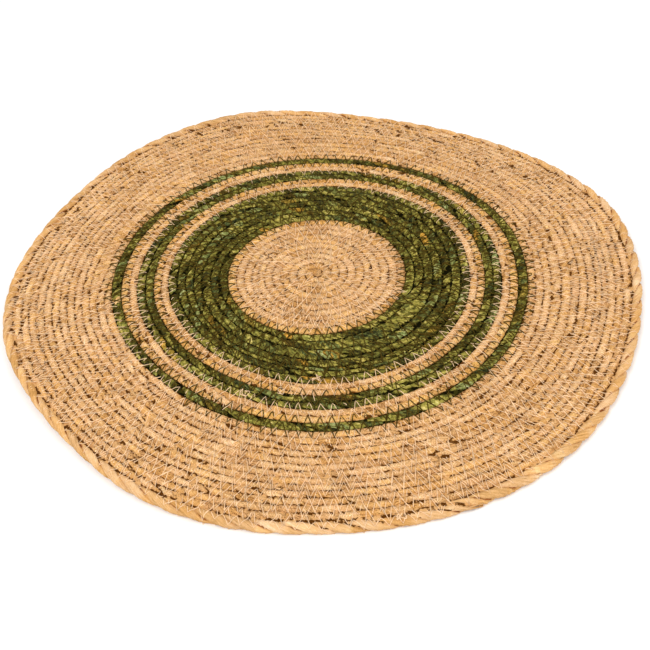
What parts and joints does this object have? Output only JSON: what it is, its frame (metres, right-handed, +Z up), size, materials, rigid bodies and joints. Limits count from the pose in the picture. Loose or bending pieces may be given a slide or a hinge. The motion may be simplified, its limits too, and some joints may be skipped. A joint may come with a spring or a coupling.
{
  "type": "round placemat",
  "caption": "Round coiled placemat of sewn plant-fibre cord, with dyed green rings round an undyed middle and a twisted rope rim.",
  "frame": {"origin": "centre of the coloured rings, on the underside", "axes": "+Z up, out of the mat's upper face; +Y away from the side seen nearest in the picture; +X to the right in the picture"},
  "size_m": [0.3832, 0.3771, 0.0089],
  "materials": {
    "undyed_fibre": "matte, undyed twisted plant fibre",
    "green_fibre": "matte, olive green dyed plant fibre",
    "rim_fibre": "satin, undyed twisted plant fibre"
  },
  "bodies": {
    "root": {"centre_coil": "undyed_fibre", "green_band": "green_fibre", "natural_ring_inner": "undyed_fibre", "green_ring_inner": "green_fibre", "natural_ring_outer": "undyed_fibre", "green_ring_outer": "green_fibre", "natural_field": "undyed_fibre", "rim_rope": "rim_fibre"}
  },
  "joints": []
}
